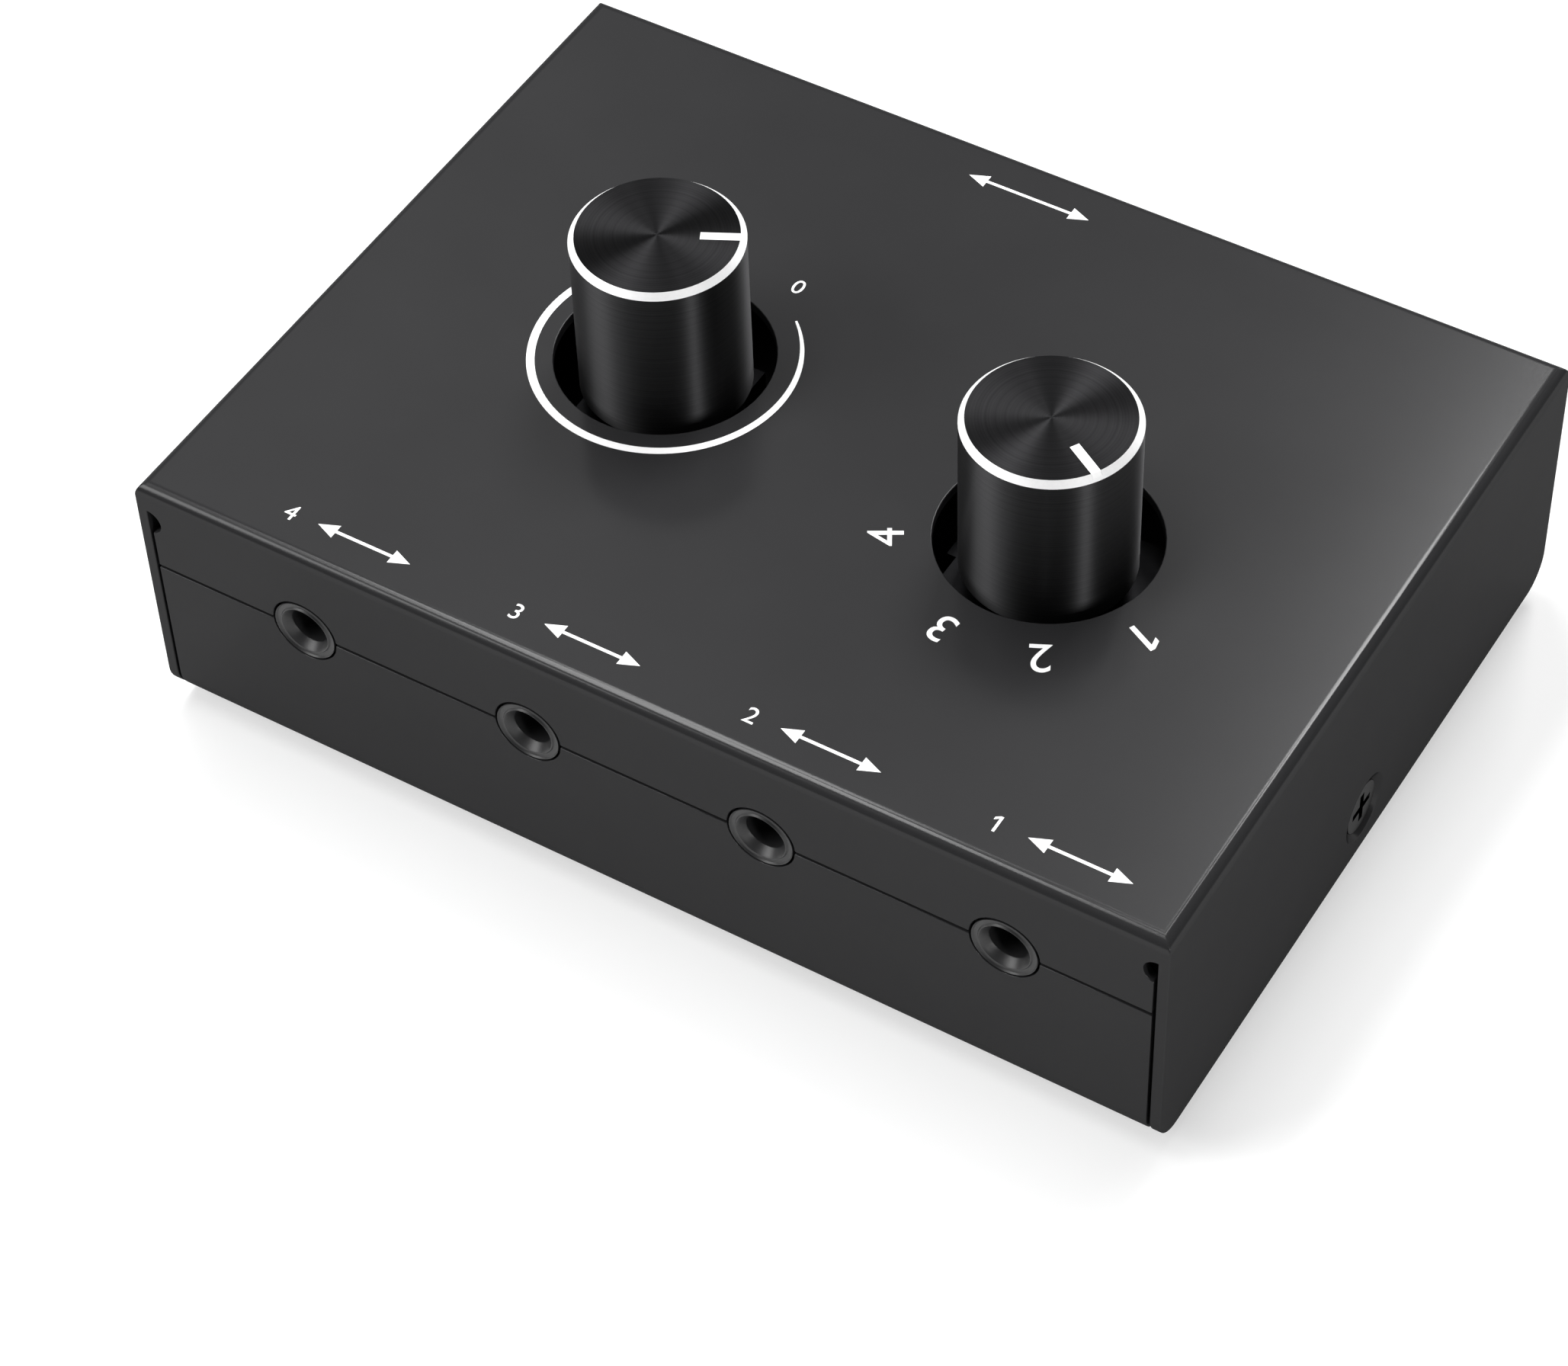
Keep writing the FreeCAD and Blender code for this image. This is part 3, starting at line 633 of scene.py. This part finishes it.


# Knobs: turned from aluminium bar and anodised black. The chamfer is cut afterwards with a diamond tool,
# so it is bare. Its near-white colour is partly its own and partly painted reflection. The pointer is a
# milled groove filled with white paint.
def turned_anodised(name, low, high, centre):
    """Black anodised aluminium. The lathe's fine rings about the knob's axis stretch each
    reflection across them."""
    material, tree, place, shader = blank_material(name)
    ring_spacing = 0.2 * MM
    tangent = add(tree, "ShaderNodeTangent", {"direction_type": "RADIAL", "axis": "Z"}, {})
    local = add(tree, "ShaderNodeMapping", {}, {"Vector": place, "Location": (-centre.x, -centre.y, 0)})
    parts = add(tree, "ShaderNodeSeparateXYZ", {}, {"Vector": local.outputs[0]})
    flat = add(tree, "ShaderNodeCombineXYZ", {}, {"X": parts.outputs["X"], "Y": parts.outputs["Y"]})
    radius = add(tree, "ShaderNodeVectorMath", {"operation": "LENGTH"}, {"Vector": flat.outputs[0]})
    along = add(tree, "ShaderNodeMath", {"operation": "ADD"},
                {"Value": radius.outputs["Value"], "Value_001": parts.outputs["Z"]})
    rings = add(tree, "ShaderNodeTexNoise", {"noise_dimensions": "1D"},
                {"W": along.outputs[0], "Scale": 1 / ring_spacing, "Detail": 1.0})
    bump = add(tree, "ShaderNodeBump", {},
               {"Height": rings.outputs["Fac"], "Strength": 0.15, "Distance": 0.004 * MM})
    shade = add(tree, "ShaderNodeMix", {"data_type": "RGBA"},
                {"Factor_Float": rings.outputs["Fac"], "A_Color": linear(low), "B_Color": linear(high)})
    fill(tree, shader, {"Base Color": shade.outputs[2], "Metallic": 1.0, "Roughness": 0.5,
                        "Anisotropic": 0.97, "Anisotropic Rotation": 0.25,
                        "Normal": bump.outputs[0], "Tangent": tangent.outputs[0]})
    return material


def bright_cut():
    """Diamond-cut aluminium, given a mostly matt near-white colour. It is partly the bare metal's own light
    tone and partly a painted reflection, so that it reads as white all round.
    """
    material, tree, place, shader = blank_material("bright-cut aluminium")
    mark_spacing = 0.3 * MM
    marks = add(tree, "ShaderNodeTexNoise", {}, {"Vector": place, "Scale": 1 / mark_spacing, "Detail": 2.0})
    shade = add(tree, "ShaderNodeMix", {"data_type": "RGBA"},
                {"Factor_Float": marks.outputs["Fac"],
                 "A_Color": linear("#f4f4f4"), "B_Color": linear("#ffffff")})
    fill(tree, shader, {"Base Color": shade.outputs[2], "Metallic": 0.3, "Roughness": 0.45})
    return material


chamfer_painted_sheen = bright_cut()
pointer_paint = white_ink("white filling paint")
core_plastic = moulded("moulded black ABS", "#1a1a1b", "#222223", 0.42, 0.8 * MM, 0.008 * MM, 1.53)
knob_chamfer = 0.52 * MM
knob_wall = 0.8 * MM
knob_top = 1.0 * MM
pointer_start = 3.6 * MM
pointer_width = 0.85 * MM
pointer_depth = 0.3 * MM
pointer_gap = 0.01 * MM
pointer_run_out = 1 * MM
rest_angles = {"volume": 27.0, "selector": -31.0}
for control, rest_angle in rest_angles.items():
    low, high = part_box(control + "_knob_shell")
    centre = knob_centres[control]
    radius = (high.x - low.x) / 2
    height = high.z - low.z
    deselect()
    bpy.ops.mesh.primitive_cylinder_add(vertices=144, radius=radius, depth=height, location=centre)
    knob = bpy.context.object
    knob.name = control + "_turned_knob"
    bpy.ops.object.transform_apply(location=True, rotation=True, scale=True)
    bpy.ops.object.mode_set(mode="EDIT")
    bpy.ops.mesh.select_mode(type="FACE")
    select_faces(knob, lambda c, n: n.z > 0.9)
    bpy.ops.mesh.bevel(offset=knob_chamfer, offset_type="OFFSET", segments=1, affect="EDGES")
    select_faces(knob, lambda c, n: n.z < -0.9)
    bpy.ops.mesh.inset(thickness=knob_wall)
    bpy.ops.mesh.extrude_region_move(TRANSFORM_OT_translate={"value": (0, 0, height - knob_top)})
    bpy.ops.object.mode_set(mode="OBJECT")
    faced = turned_anodised("faced black anodised aluminium", "#1f1f20", "#2b2b2c", centre)
    # The sides are the same black metal as the top. Their much lighter colour is painted sheen, which
    # brightens the streaks of reflection on them.
    side = turned_anodised("turned black anodised aluminium with painted sheen", "#3c3c3d", "#4a4a4b", centre)
    surfaces = [faced, chamfer_painted_sheen, side]
    for surface in surfaces:
        knob.data.materials.append(surface)
    for face in knob.data.polygons:
        if 0.3 < face.normal.z < 0.95 and face.center.z > high.z - knob_chamfer:
            face.material_index = surfaces.index(chamfer_painted_sheen)
        elif abs(face.normal.z) < 0.3:
            face.material_index = surfaces.index(side)
    reach = radius + pointer_run_out - pointer_start
    turn = math.radians(rest_angle)
    out = Vector((math.cos(turn), math.sin(turn), 0))
    middle = Vector((centre.x, centre.y, high.z)) + out * (pointer_start - pointer_gap + reach / 2)
    groove_size = (reach, pointer_width + 2 * pointer_gap, 2 * pointer_depth)
    bpy.ops.mesh.primitive_cube_add(size=1, location=middle, rotation=(0, 0, turn), scale=groove_size)
    cutter = bpy.context.object
    groove = knob.modifiers.new("groove", "BOOLEAN")
    groove.object = cutter
    groove.solver = "EXACT"
    apply_modifiers(knob)
    bpy.data.objects.remove(cutter)
    smoothed(knob, 30)
    fitted(knob, control + "_knob_shell", control + "_knob")
    dress(pointer_paint, control + "_knob_pointer")
    dress(core_plastic, control + "_knob_core")

# Size: the box of the shown objects, with the floor left out.
low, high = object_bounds()
